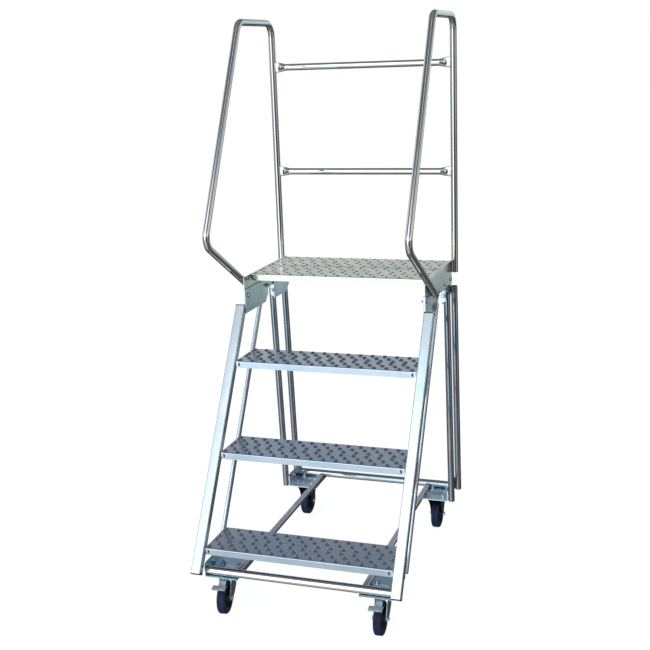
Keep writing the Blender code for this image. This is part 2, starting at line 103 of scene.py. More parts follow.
# ---------------------------------------------------------------- materials
class Graph:
    """A small helper for node trees."""

    def __init__(self, tree):
        self.tree = tree
        self.nodes = tree.nodes
        self.nodes.clear()

    def add(self, kind, **values):
        node = self.nodes.new(kind)
        for key, value in values.items():
            setattr(node, key, value)
        return node

    def link(self, source, target):
        self.tree.links.new(source, target)

    def math(self, operation, a, b=None, c=None, clamp=False):
        node = self.add("ShaderNodeMath", operation=operation, use_clamp=clamp)
        for socket, value in zip(node.inputs, (a, b, c)):
            if value is None:
                continue
            if isinstance(value, (int, float)):
                socket.default_value = value
            else:
                self.link(value, socket)
        return node.outputs[0]

    def span(self, value, low, high, to_low=0.0, to_high=1.0, smooth=True):
        node = self.add("ShaderNodeMapRange", interpolation_type="SMOOTHSTEP" if smooth else "LINEAR", clamp=True)
        self.link(value, node.inputs["Value"])
        for key, number in (("From Min", low), ("From Max", high), ("To Min", to_low), ("To Max", to_high)):
            node.inputs[key].default_value = number
        return node.outputs["Result"]

    def mix(self, factor, a, b, blend="MIX"):
        node = self.add("ShaderNodeMix", data_type="RGBA", blend_type=blend, clamp_factor=True)
        sockets = [s for s in node.inputs if s.type == "RGBA"]
        if isinstance(factor, (int, float)):
            node.inputs[0].default_value = factor
        else:
            self.link(factor, node.inputs[0])
        for socket, value in zip(sockets, (a, b)):
            if isinstance(value, (tuple, list)):
                socket.default_value = (*value[:3], 1.0)
            else:
                self.link(value, socket)
        return [s for s in node.outputs if s.type == "RGBA"][0]

    def place(self, scale=(1.0, 1.0, 1.0), rotation=(0.0, 0.0, 0.0), offset=(0.0, 0.0, 0.0)):
        coordinates = self.add("ShaderNodeTexCoord")
        mapping = self.add("ShaderNodeMapping")
        mapping.inputs["Scale"].default_value = scale
        mapping.inputs["Rotation"].default_value = rotation
        mapping.inputs["Location"].default_value = offset
        self.link(coordinates.outputs["Object"], mapping.inputs["Vector"])
        return mapping.outputs["Vector"]

    def noise(self, vector, scale, detail=4.0, roughness=0.55, distortion=0.0):
        node = self.add("ShaderNodeTexNoise")
        self.link(vector, node.inputs["Vector"])
        node.inputs["Scale"].default_value = scale
        node.inputs["Detail"].default_value = detail
        node.inputs["Roughness"].default_value = roughness
        node.inputs["Distortion"].default_value = distortion
        return node.outputs["Fac"]


def surface(name, metallic, **sockets):
    """An empty material with its shader: (material, graph, shader)."""
    made = bpy.data.materials.new(name)
    made.use_nodes = True
    graph = Graph(made.node_tree)
    out = graph.add("ShaderNodeOutputMaterial")
    shader = graph.add("ShaderNodeBsdfPrincipled")
    shader.inputs["Metallic"].default_value = metallic
    for key, value in sockets.items():
        shader.inputs[key].default_value = value
    graph.link(shader.outputs[0], out.inputs["Surface"])
    return made, graph, shader


def bump(graph, shader, height, strength, distance):
    node = graph.add("ShaderNodeBump")
    node.inputs["Strength"].default_value = strength
    node.inputs["Distance"].default_value = distance
    graph.link(height, node.inputs["Height"])
    graph.link(node.outputs["Normal"], shader.inputs["Normal"])


def plated(name, tint_a, tint_b, stain, rough, cloud=5.0, scratch_along=(1.0, 1.0, 1.0), stain_amount=0.25, dents=0.35, seed=0.0, edges=0.0, metal=1.0):
    """Plated steel: cloudy passivation between two tints, fine mottling, faint stains, drawn scratches and handling marks."""
    made, g, shader = surface(name, metal)
    at = g.place(offset=(seed, seed * 0.7, seed * 1.3))
    clouds = g.span(g.noise(at, cloud, 5.0, 0.6, 0.6), 0.36, 0.64)
    colour = g.mix(clouds, tint_a, tint_b)
    fine = g.noise(at, 60.0, 3.0, 0.6)
    colour = g.mix(g.span(fine, 0.3, 0.7, 0.0, 0.10), colour, tuple(0.74 * c for c in tint_a))
    spots = g.span(g.noise(at, 22.0, 6.0, 0.7, 1.5), 0.62, 0.75, 0.0, stain_amount)
    colour = g.mix(spots, colour, stain)
    if edges:
        worn = g.add("ShaderNodeNewGeometry")
        rim = g.span(worn.outputs["Pointiness"], 0.51, 0.60, 0.0, edges)
        colour = g.mix(rim, colour, tuple(min(1.0, 1.3 * c + 0.08) for c in tint_b))
    g.link(colour, shader.inputs["Base Color"])
    drawn = g.place(scale=scratch_along, offset=(seed, 0.0, 0.0))
    scratches = g.noise(drawn, 60.0, 4.0, 0.75)
    patch = g.noise(at, 14.0, 4.0, 0.6)
    blend = g.math("ADD", g.math("MULTIPLY", patch, 0.6), g.math("MULTIPLY", scratches, 0.4))
    g.link(g.span(blend, 0.35, 0.65, rough[0], rough[1], smooth=False), shader.inputs["Roughness"])
    waves = g.noise(at, 26.0, 2.0, 0.5)
    grain = g.noise(at, 900.0, 2.0, 0.6)
    height = g.math("ADD", g.math("MULTIPLY", waves, dents), g.math("ADD", g.math("MULTIPLY", scratches, 0.03), g.math("MULTIPLY", grain, 0.012)))
    bump(g, shader, height, 0.09, 0.0010)
    return made


def chromed(name, tint_a, tint_b, haze, seed=0.0, dents=0.12):
    """Bright plated tube: thin tint changes, wiping haze, small pits and drawing lines."""
    made, g, shader = surface(name, 1.0)
    at = g.place(offset=(seed, seed, seed))
    colour = g.mix(g.span(g.noise(at, 7.0, 4.0, 0.55, 0.4), 0.38, 0.62), tint_a, tint_b)
    pits = g.span(g.noise(at, 150.0, 4.0, 0.8), 0.70, 0.78, 0.0, 0.3)
    colour = g.mix(pits, colour, (0.20, 0.15, 0.12))
    g.link(colour, shader.inputs["Base Color"])
    smear = g.noise(at, 18.0, 5.0, 0.65, 1.0)
    g.link(g.span(smear, 0.35, 0.7, haze[0], haze[1], smooth=False), shader.inputs["Roughness"])
    height = g.math("ADD", g.math("MULTIPLY", g.noise(at, 30.0, 2.0, 0.5), dents), g.math("MULTIPLY", g.noise(at, 700.0, 2.0, 0.6), 0.012))
    bump(g, shader, height, 0.14, 0.0010)
    return made


def rubber(name):
    made, g, shader = surface(name, 0.0, **{"Specular IOR Level": 0.35})
    at = g.place()
    colour = g.mix(g.span(g.noise(at, 24.0, 5.0, 0.6, 0.5), 0.4, 0.62), (0.008, 0.018, 0.055), (0.016, 0.036, 0.110))
    dust = g.span(g.noise(at, 70.0, 6.0, 0.75, 1.2), 0.60, 0.76, 0.0, 0.22)
    colour = g.mix(dust, colour, (0.10, 0.10, 0.12))
    g.link(colour, shader.inputs["Base Color"])
    g.link(g.span(g.noise(at, 45.0, 4.0, 0.6), 0.35, 0.65, 0.42, 0.68, smooth=False), shader.inputs["Roughness"])
    bump(g, shader, g.math("ADD", g.noise(at, 260.0, 4.0, 0.7), g.math("MULTIPLY", g.noise(at, 40.0, 3.0), 0.8)), 0.35, 0.0006)
    return made


def plastic(name, dark, light, rough):
    made, g, shader = surface(name, 0.0)
    at = g.place()
    colour = g.mix(g.span(g.noise(at, 30.0, 5.0, 0.6), 0.4, 0.65), dark, light)
    scuffs = g.span(g.noise(g.place(scale=(1.0, 6.0, 2.0)), 90.0, 5.0, 0.8), 0.62, 0.76, 0.0, 0.4)
    colour = g.mix(scuffs, colour, (0.12, 0.12, 0.13))
    g.link(colour, shader.inputs["Base Color"])
    g.link(g.span(g.noise(at, 55.0, 4.0, 0.6), 0.35, 0.65, *rough, smooth=False), shader.inputs["Roughness"])
    bump(g, shader, g.noise(at, 500.0, 4.0, 0.7), 0.25, 0.0004)
    return made


FINISH = {
    "tread_zinc": plated("finish_tread_zinc", (0.44, 0.53, 0.62), (0.54, 0.58, 0.66), (0.42, 0.36, 0.37), (0.16, 0.28), cloud=5.0, scratch_along=(0.25, 5.0, 5.0), edges=0.3),
    "deck_zinc": plated("finish_deck_zinc", (0.67, 0.66, 0.56), (0.77, 0.73, 0.60), (0.50, 0.44, 0.36), (0.16, 0.28), cloud=5.0, scratch_along=(0.25, 5.0, 5.0), seed=3.1, edges=0.3),
    "plate_zinc": plated("finish_plate_zinc", (0.66, 0.70, 0.66), (0.76, 0.78, 0.74), (0.46, 0.40, 0.26), (0.22, 0.36), cloud=16.0, seed=1.7, edges=0.4),
    # bright_zinc is the rear corner brackets' copy of the bracket zinc, given lighter tints as painted light.
    "bright_zinc": plated("finish_bright_zinc_painted_light", (0.46, 0.66, 0.69), (0.60, 0.64, 0.70), (0.46, 0.40, 0.33), (0.18, 0.30), cloud=13.0, seed=5.2, edges=0.4),
    "stile_zinc": plated("finish_stile_zinc", (0.77, 0.85, 0.91), (0.84, 0.87, 0.91), (0.62, 0.62, 0.70), (0.20, 0.32), cloud=4.0, scratch_along=(6.0, 0.5, 0.25), seed=2.2, stain_amount=0.15, edges=0.3),
    "end_cap_plastic": plastic("finish_end_cap", (0.085, 0.062, 0.050), (0.15, 0.115, 0.09), (0.40, 0.60)),
    "leg_chrome": chromed("finish_leg_plating", (0.42, 0.52, 0.60), (0.53, 0.58, 0.63), (0.06, 0.13), seed=4.0),
    "rail_chrome": chromed("finish_rail_plating", (0.74, 0.78, 0.78), (0.84, 0.80, 0.78), (0.04, 0.10), seed=7.0),
    "base_zinc": plated("finish_base_zinc", (0.66, 0.62, 0.68), (0.78, 0.72, 0.76), (0.42, 0.32, 0.30), (0.20, 0.32), cloud=6.0, seed=6.3),
    "tyre_rubber": rubber("finish_tyre_rubber"),
    "rim_plastic": plastic("finish_rim_nylon", (0.014, 0.015, 0.020), (0.034, 0.035, 0.042), (0.35, 0.55)),
    "fork_zinc": plated("finish_fork_zinc", (0.40, 0.46, 0.48), (0.56, 0.58, 0.60), (0.30, 0.27, 0.24), (0.20, 0.36), cloud=26.0, seed=8.4, edges=0.4),
    # rear_fork_zinc is the rear forks' copy of the fork zinc, tinted near black as painted shade; fork_zinc on the
    # front forks is the same zinc without it.
    "rear_fork_zinc": plated("finish_rear_fork_painted_shade", (0.045, 0.055, 0.065), (0.10, 0.11, 0.12), (0.10, 0.08, 0.06), (0.24, 0.40), cloud=26.0, seed=13.4, edges=0.3),
    # corner_zinc is the front corner brackets' copy of the same zinc, given darker tints as painted shade.
    "corner_zinc": plated("finish_corner_zinc_painted_shade", (0.26, 0.44, 0.52), (0.42, 0.55, 0.62), (0.22, 0.17, 0.12), (0.10, 0.20), cloud=13.0, seed=15.2, edges=0.4),
    "bolt_zinc": plated("finish_bolt_zinc", (0.56, 0.70, 0.84), (0.74, 0.82, 0.90), (0.60, 0.52, 0.38), (0.18, 0.32), cloud=40.0, seed=9.9, edges=0.3, metal=0.75),
    "pedal_zinc": plated("finish_pedal_zinc", (0.74, 0.86, 0.95), (0.88, 0.94, 0.97), (0.70, 0.70, 0.66), (0.18, 0.30), cloud=30.0, seed=11.0, edges=0.3, metal=0.5),
}
for node_name, slot_name in SLOT_OF.items():
    data = NODES[node_name].data
    data.materials.clear()
    data.materials.append(FINISH[slot_name])


# ---------------------------------------------------------------- mesh tools
def build(name, verts, faces, sharp=38.0):
    """A mesh in the row frame from points laid out from the lowest nosing."""
    mesh = bpy.data.meshes.new(name)
    points = np.asarray(verts, float).reshape(-1, 3).copy()
    points[:, 1] += Y0
    mesh.from_pydata([tuple(p) for p in points.tolist()], [], [tuple(f) for f in faces])
    return tidy(mesh, sharp)


def tidy(mesh, sharp=38.0, merge=1e-7):
    bm = bmesh.new()
    bm.from_mesh(mesh)
    bmesh.ops.remove_doubles(bm, verts=bm.verts, dist=merge)
    bmesh.ops.recalc_face_normals(bm, faces=bm.faces)
    bm.to_mesh(mesh)
    bm.free()
    mesh.shade_smooth()
    mesh.set_sharp_from_angle(angle=math.radians(sharp))
    return mesh


def show(name, mesh, slot, body, stands_for=(), bevel=0.0, even=False):
    made = bpy.data.objects.new(name, mesh)
    bpy.context.scene.collection.objects.link(made)
    mesh.materials.clear()
    mesh.materials.append(FINISH[slot])
    if bevel:
        edge = made.modifiers.new("rounding", "BEVEL")
        edge.width = bevel
        edge.segments = 2
        edge.limit_method = "ANGLE"
        edge.angle_limit = math.radians(32.0)
        edge.use_clamp_overlap = True
    if bevel or even:
        weigh = made.modifiers.new("shading", "WEIGHTED_NORMAL")
        weigh.keep_sharp = not bevel
    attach(made, body)
    if stands_for:
        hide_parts(*stands_for)
    return made


def body_of(node):
    for name, members in RECORD["behaviour"]["bodies"].items():
        if node in members:
            return name
    return "root"


def dressed(node, bevel, slot=None):
    """The CAD node's own shape with its long edges rounded."""
    source = NODES[node].data
    mesh = bpy.data.meshes.new(node + "_dressed")
    mesh.from_pydata([tuple(v.co) for v in source.vertices], [], [tuple(p.vertices) for p in source.polygons])
    bm = bmesh.new()
    bm.from_mesh(mesh)
    bmesh.ops.remove_doubles(bm, verts=bm.verts, dist=2e-6)
    bmesh.ops.dissolve_limit(bm, angle_limit=math.radians(0.5), verts=bm.verts, edges=bm.edges)
    bmesh.ops.recalc_face_normals(bm, faces=bm.faces)
    bm.to_mesh(mesh)
    bm.free()
    mesh.shade_smooth()
    return show(node + "_dressed", mesh, slot or SLOT_OF[node], body_of(node), [node], bevel=bevel)


def circle(cx, cy, radius, sides, phase=0.0):
    return [
        (cx + radius * math.cos(2 * math.pi * (k + phase) / sides), cy + radius * math.sin(2 * math.pi * (k + phase) / sides))
        for k in range(sides)
    ]


def round_corners(points, radius, steps=4):
    """The polygon with its corners rounded. The radius may be one number or one for each corner."""
    points = [Vector(p) for p in points]
    out = []
    for i, corner in enumerate(points):
        r = radius[i] if isinstance(radius, (list, tuple)) else radius
        if r <= 0:
            out.append(tuple(corner))
            continue
        u = (points[i - 1] - corner).normalized()
        v = (points[(i + 1) % len(points)] - corner).normalized()
        half = 0.5 * u.angle(v)
        centre = corner + (u + v).normalized() * (r / math.sin(half))
        reach = r / math.tan(half)
        start, end = corner + u * reach - centre, corner + v * reach - centre
        sweep = math.pi - 2 * half
        for k in range(steps + 1):
            t = k / steps
            p = centre + (start * math.sin((1 - t) * sweep) + end * math.sin(t * sweep)) / math.sin(sweep)
            out.append(tuple(p))
    return out


def inside(points, loop):
    """Which points lie inside the closed loop."""
    x, y = points[:, 0], points[:, 1]
    hit = np.zeros(len(points), bool)
    loop = np.asarray(loop, float)
    for (x0, y0), (x1, y1) in zip(loop, np.roll(loop, -1, axis=0)):
        crosses = (y0 > y) != (y1 > y)
        with np.errstate(divide="ignore", invalid="ignore"):
            at = (x1 - x0) * (y - y0) / (y1 - y0) + x0
        hit ^= crosses & (x < at)
    return hit


def sheet(name, outline, holes, lines, upper, lower, sharp=38.0):
    """A closed sheet from a flat cut-out: an outline with holes, triangulated and bent by the maps of its two skins."""
    verts, edges = [], []
    for loop in [outline, *holes]:
        first = len(verts)
        verts += [Vector(p) for p in loop]
        edges += [(first + i, first + (i + 1) % len(loop)) for i in range(len(loop))]
    for line in lines:
        first = len(verts)
        verts += [Vector(p) for p in line]
        edges += [(first + i, first + i + 1) for i in range(len(line) - 1)]
    flat = delaunay_2d_cdt(verts, edges, [], 0, 1e-7, False)
    points = np.array([tuple(v)[:2] for v in flat[0]], float)
    tris = np.array([tuple(f) for f in flat[2] if len(f) == 3], int)
    middle = points[tris].mean(axis=1)
    keep = inside(middle, outline)
    for loop in holes:
        low, high = np.min(loop, axis=0), np.max(loop, axis=0)
        near = np.where(keep & (middle[:, 0] > low[0]) & (middle[:, 0] < high[0]) & (middle[:, 1] > low[1]) & (middle[:, 1] < high[1]))[0]
        if len(near):
            keep[near[inside(middle[near], loop)]] = False
    tris = tris[keep]
    used, back = np.unique(tris, return_inverse=True)
    points, tris = points[used], back.reshape(-1, 3)
    count = len(points)
    top = upper(points)
    bottom = lower(points)
    seen = {}
    for tri in tris.tolist():
        for a, b in ((tri[0], tri[1]), (tri[1], tri[2]), (tri[2], tri[0])):
            seen.setdefault((min(a, b), max(a, b)), []).append((a, b))
    faces = tris.tolist() + [[t[0] + count, t[2] + count, t[1] + count] for t in tris.tolist()]
    for pair in seen.values():
        if len(pair) == 1:
            a, b = pair[0]
            faces.append([b, a, a + count, b + count])
    return build(name, np.vstack([top, bottom]), faces, sharp)


def bend(s, radius, inset):
    """Where a point s past a right-angled fold goes: (how far along, how far round the corner)."""
    arc = 0.5 * math.pi * radius
    angle = np.clip(s / radius, 0.0, 0.5 * math.pi)
    along = np.where(s < 0, s, (radius - inset) * np.sin(angle))
    across = np.where(s < 0, inset, radius - (radius - inset) * np.cos(angle)) + np.where(s > arc, s - arc, 0.0)
    return along, across


class Kit:
    """Small turned and hexagonal parts gathered into one piece."""

    def __init__(self):
        self.verts, self.faces = [], []

    def turned(self, at, axis, profile, sides, phase=0.0, ring=False):
        axis = Vector(axis).normalized()
        side = axis.orthogonal().normalized() if abs(axis.x) < 0.99 else Vector((0, 1, 0))
        up = axis.cross(side).normalized()
        side = up.cross(axis).normalized()
        rows = []
        for along, radius in profile:
            centre = Vector(at) + axis * along
            if radius <= 1e-9:
                rows.append([len(self.verts)])
                self.verts.append(tuple(centre))
                continue
            row = []
            for k in range(sides):
                t = 2 * math.pi * (k + phase) / sides
                row.append(len(self.verts))
                self.verts.append(tuple(centre + side * (radius * math.cos(t)) + up * (radius * math.sin(t))))
            rows.append(row)
        pairs = list(zip(rows, rows[1:]))
        if ring:
            pairs.append((rows[-1], rows[0]))
        for a, b in pairs:
            for k in range(sides):
                j = (k + 1) % sides
                loop = [a[k % len(a)], a[j % len(a)], b[j % len(b)], b[k % len(b)]]
                loop = list(dict.fromkeys(loop))
                if len(loop) > 2:
                    self.faces.append(loop)

    def washer(self, at, axis, radius=0.0078, thick=0.0012, bore=0.0):
        r, t = radius, thick
        self.turned(at, axis, [(0.0, 0.0), (0.0, r - 0.0002), (0.0002, r), (t - 0.0003, r), (t, r - 0.0004), (t, 0.0)], 28)

    def hexagon(self, at, axis, radius=0.0062, high=0.0042, phase=0.0, washer=True, dome=0.0004):
        """A hexagon bolt head on its washer."""
        axis = Vector(axis).normalized()
        at = Vector(at)
        if washer:
            self.washer(at, axis)
            at = at + axis * 0.0012
        r, h = radius, high
        self.turned(at, axis, [(0.0, 0.0), (0.0, r), (h - 0.0007, r), (h - 0.0002, 0.90 * r), (h, 0.82 * r), (h + dome, 0.45 * r), (h + dome, 0.0)], 6, phase)

    def nut(self, at, axis, radius=0.0062, high=0.0050, phase=0.0, thread=0.0034, stands=0.0040, washer=True):
        """A hexagon nut on its washer, with the bolt's threaded end standing out of it."""
        axis = Vector(axis).normalized()
        at = Vector(at)
        if washer:
            self.washer(at, axis)
            at = at + axis * 0.0012
        r, h, q = radius, high, thread
        self.turned(at, axis, [(0.0, 0.0), (0.0, 0.92 * r), (0.0005, r), (h - 0.0006, r), (h, 0.86 * r), (h, q), (h, 0.0)], 6, phase)
        rows = [(h - 0.0002, 0.0), (h - 0.0002, q)]
        turns = 5
        for k in range(turns):
            z0 = h + stands * k / turns
            rows += [(z0 + 0.1 * stands / turns, q), (z0 + 0.5 * stands / turns, q - 0.00035), (z0 + 0.9 * stands / turns, q)]
        rows += [(h + stands, q - 0.0006), (h + stands, 0.0)]
        self.turned(at, axis, rows, 18)

    def dome(self, at, axis, radius=0.0065, high=0.0030):
        """A round-headed rivet or carriage bolt."""
        rows = [(0.0, 0.0), (0.0, radius)]
        for k in range(1, 7):
            t = 0.5 * math.pi * k / 6
            rows.append((high * math.sin(t), radius * math.cos(t)))
        self.turned(at, axis, rows, 24)

    def slab(self, matrix, low, high):
        first = len(self.verts)
        for z in (low[2], high[2]):
            for x, y in ((low[0], low[1]), (high[0], low[1]), (high[0], high[1]), (low[0], high[1])):
                self.verts.append(tuple(matrix @ Vector((x, y, z))))
        for loop in ((0, 1, 2, 3), (4, 5, 6, 7), (0, 1, 5, 4), (1, 2, 6, 5), (2, 3, 7, 6), (3, 0, 4, 7)):
            self.faces.append([first + k for k in loop])

    def mesh(self, name, sharp=38.0):
        """The gathered shapes as they stand, each closed on its own."""
        mesh = bpy.data.meshes.new(name)
        points = np.asarray(self.verts, float)
        points[:, 1] += Y0
        mesh.from_pydata([tuple(p) for p in points.tolist()], [], self.faces)
        bm = bmesh.new()
        bm.from_mesh(mesh)
        bmesh.ops.recalc_face_normals(bm, faces=bm.faces)
        bm.to_mesh(mesh)
        bm.free()
        mesh.shade_smooth()
        mesh.set_sharp_from_angle(angle=math.radians(sharp))
        return mesh


# ---------------------------------------------------------------- treads and platform planks
DOME_BASE, DOME_HOLE = 0.0083, 0.0034
SHEET, FOLD = 0.002, 0.003
DOME_SIDES = 18


def perforated(name, node, slot, dome_high, rim_sheet, dome_base=DOME_BASE):
    """A folded sheet with six staggered rows of raised anti-slip holes."""
    low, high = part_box(node)
    half = high.x
    y0, y1, top = low.y - Y0, high.y - Y0, high.z
    deep = top - low.z
    ub, va, vb = half - FOLD, y0 + FOLD, y1 - FOLD
    arc = 0.5 * math.pi * FOLD
    flap = arc + deep - FOLD
    centres = []
    for row in range(6):
        y = y0 + 0.0155 + 0.025 * row
        if row in (1, 4):
            centres += [(0.017 + 0.040 * k, y) for k in range(-7, 7)]
        else:
            centres += [(-0.003 + 0.040 * k, y) for k in range(-7, 8)]
    spots = np.array(centres)
    c = 0.006
    outline = round_corners(
        [
            (-ub, va), (-ub + 0.0006, va - flap), (ub - 0.0006, va - flap), (ub, va),
            (ub + flap, va + 0.0006), (ub + flap, vb - 0.0006), (ub, vb),
            (ub - 0.0006, vb + flap), (-ub + 0.0006, vb + flap), (-ub, vb),
            (-ub - flap, vb - 0.0006), (-ub - flap, va + 0.0006),
        ],
        [0, c, c, 0, c, c, 0, c, c, 0, c, c],
        steps=4,
    )
    holes = [circle(x, y, DOME_HOLE, DOME_SIDES) for x, y in centres]
    for sx in (-1, 1):
        middle = va - (arc + 0.0105 - FOLD)
        stadium = []
        for k in range(9):
            t = math.pi * k / 8
            stadium.append((sx * (half - 0.013) + 0.003 * math.cos(t), middle + 0.003 + 0.003 * math.sin(t)))
        for k in range(9):
            t = math.pi + math.pi * k / 8
            stadium.append((sx * (half - 0.013) + 0.003 * math.cos(t), middle - 0.003 + 0.003 * math.sin(t)))
        holes.append(stadium)
    lines = []
    for x, y in centres:
        climb = dome_base - DOME_HOLE
        for r in (DOME_HOLE + 0.0008, DOME_HOLE + 0.45 * climb, DOME_HOLE + 0.72 * climb, dome_base, dome_base + 0.0005):
            ring = circle(x, y, r, DOME_SIDES)
            lines.append(ring + [ring[0]])
    bands = [-0.0006, 0.0, arc / 4, arc / 2, 3 * arc / 4, arc, arc + 0.0006]
    for s in bands:
        for v in (va - s, vb + s):
            if s <= 0:
                lines.append([(u, v) for u in np.linspace(-ub, ub, 40)])
            else:
                lines.append([(u, v) for u in np.linspace(-ub + 0.0002, ub - 0.0002, 40)])
        for u in (-ub - s, ub + s):
            lines.append([(u, v) for v in np.linspace(va + (0 if s <= 0 else 0.0002), vb - (0 if s <= 0 else 0.0002), 12)])

    def skin(points, inset):
        u, v = points[:, 0], points[:, 1]
        nearest = np.full(len(points), 9.0)
        for x, y in spots:
            nearest = np.minimum(nearest, np.hypot(u - x, v - y))
        t = np.clip((dome_base - nearest) / (dome_base - DOME_HOLE), 0.0, 1.0)
        rise = dome_high * np.sin(0.5 * math.pi * t) ** 1.3
        x, y = u.copy(), v.copy()
        z = top - np.where(t > 0, inset + (min(inset, rim_sheet) - inset) * t, inset) + rise
        for sign, edge in ((1.0, ub), (-1.0, ub)):
            s = sign * u - edge
            past = s > 0
            along, across = bend(s, FOLD, inset)
            x = np.where(past, sign * (edge + along), x)
            z = np.where(past, top - across, z)
        for sign, edge in ((1.0, vb), (-1.0, -va)):
            s = sign * v - edge
            past = s > 0
            along, across = bend(s, FOLD, inset)
            y = np.where(past, sign * (edge + along), y)
            z = np.where(past, top - across, z)
        return np.stack([x, y, z], axis=1)

    mesh = sheet(name, outline, holes, lines, lambda p: skin(p, 0.0), lambda p: skin(p, SHEET), sharp=50.0)
    return show(name, mesh, slot, "frame", [node])


for number in (1, 2, 3):
    perforated(f"tread_sheet_{number}", f"tread_{number}", "tread_zinc", 0.0036, 0.0022)
perforated("platform_sheet_front", "platform_front_plank", "deck_zinc", 0.0011, 0.0010, 0.0060)
perforated("platform_sheet_rear", "platform_rear_plank", "deck_zinc", 0.0011, 0.0010, 0.0060)


# Dark plastic slabs fill the two slots in each tread's front flange as painted shade, where the open slots would show
# shadow.
slot_shade = Kit()
for number in (1, 2, 3):
    low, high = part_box(f"tread_{number}")
    for side in (-1.0, 1.0):
        at = Matrix.Translation((side * (high.x - 0.013), low.y - Y0 + 0.0004, high.z - 0.0105))
        slot_shade.slab(at, (-0.0028, 0.0, -0.0057), (0.0028, 0.0014, 0.0057))
show("tread_slot_painted_shade", slot_shade.mesh("tread_slot_painted_shade"), "end_cap_plastic", "frame")


# ---------------------------------------------------------------- tubes
def rounded_path(points, radius, step_deg=4.0):
    points = [Vector(p) for p in points]
    path = [points[0]]
    for before, corner, after in zip(points, points[1:], points[2:]):
        u = (before - corner).normalized()
        v = (after - corner).normalized()
        half = 0.5 * u.angle(v)
        centre = corner + (u + v).normalized() * (radius / math.sin(half))
        reach = radius / math.tan(half)
        start, end = corner + u * reach - centre, corner + v * reach - centre
        sweep = math.pi - 2 * half
        steps = max(3, round(math.degrees(sweep) / step_deg))
        for k in range(steps + 1):
            t = k / steps
            path.append(centre + (start * math.sin((1 - t) * sweep) + end * math.sin(t * sweep)) / math.sin(sweep))
    path.append(points[-1])
    return path


def subdivided(path, longest=0.06):
    out = [path[0]]
    for a, b in zip(path, path[1:]):
        n = max(1, math.ceil((b - a).length / longest))
        out += [a.lerp(b, k / n) for k in range(1, n + 1)]
    return out


def round_tube(name, path, radius, wall, sides=36):
    """A hollow tube with eased rims. Its path lies in one plane."""
    path = subdivided([Vector(p) for p in path])
    flat = None
    for a, b, c in zip(path, path[1:], path[2:]):
        cross = (b - a).cross(c - b)
        if cross.length > 1e-8:
            flat = cross.normalized()
            break
    if flat is None:
        along = (path[-1] - path[0]).normalized()
        flat = along.cross(Vector((0, 0, 1)) if abs(along.z) < 0.9 else Vector((1, 0, 0))).normalized()
    ease = 0.0004
    stations = [(path[0], radius - ease)]
    first = (path[1] - path[0]).normalized()
    last = (path[-1] - path[-2]).normalized()
    stations.append((path[0] + first * ease, radius))
    stations += [(p, radius) for p in path[1:-1]]
    stations.append((path[-1] - last * ease, radius))
    stations.append((path[-1], radius - ease))
    verts, faces, rows = [], [], []

    def ring(point, along, r):
        side = along.cross(flat).normalized()
        row = []
        for k in range(sides):
            t = 2 * math.pi * k / sides
            row.append(len(verts))
            verts.append(tuple(point + flat * (r * math.cos(t)) + side * (r * math.sin(t))))
        return row

    def directions(points):
        for i in range(len(points)):
            a = points[max(0, i - 1)]
            b = points[min(len(points) - 1, i + 1)]
            yield (b - a).normalized()

    outer_points = [p for p, _ in stations]
    for (point, r), along in zip(stations, directions(outer_points)):
        rows.append(ring(point, along, r))
    for point, along in zip(reversed(path), [-d for d in directions(list(reversed(path)))]):
        rows.append(ring(point, along, radius - wall))
    for a, b in zip(rows, rows[1:] + rows[:1]):
        for k in range(sides):
            j = (k + 1) % sides
            faces.append([a[k], a[j], b[j], b[k]])
    return build(name, verts, faces, 40.0)


RAIL_R = 0.5 * (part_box("guard_bar_upper")[1].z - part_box("guard_bar_upper")[0].z)
RAIL_WALL = 0.0015
RAIL_SHAPE = [(0.507, 0.902), (0.165, 1.108), (0.505, 1.748), (0.788, 1.748), (0.788, 0.921)]
for label, side in SIDES:
    node = f"handrail_{label}"
    low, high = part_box(node)
    x = 0.5 * (low.x + high.x)
    path = rounded_path([(x, y, z) for y, z in RAIL_SHAPE], 0.045)
    show(f"handrail_tube_{label}", round_tube(f"handrail_tube_{label}", path, RAIL_R, RAIL_WALL), "rail_chrome", "frame", [node])
    for end, (at_top, spread) in {"front": (0.668, 0.065), "rear": (0.785, 0.059)}.items():
        node = f"{end}_leg_{label}"
        low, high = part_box(node)
        x = 0.5 * (low.x + high.x)
        foot, head = 0.124, 0.872
        path = [(x, at_top + spread * (1 - z), z) for z in (foot, head)]
        show(f"{end}_leg_tube_{label}", round_tube(f"{end}_leg_tube_{label}", path, RAIL_R, RAIL_WALL, 32), "leg_chrome", "frame", [node])

for node in ("front_cross_tube", "rear_cross_tube"):
    low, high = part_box(node)
    y, z, r = 0.5 * (low.y + high.y) - Y0, 0.5 * (low.z + high.z), 0.5 * (high.z - low.z)
    show(node + "_round", round_tube(node + "_round", [(low.x, y, z), (high.x, y, z)], r, 0.0015, 36), "rail_chrome" if node == "front_cross_tube" else "leg_chrome", "frame", [node])


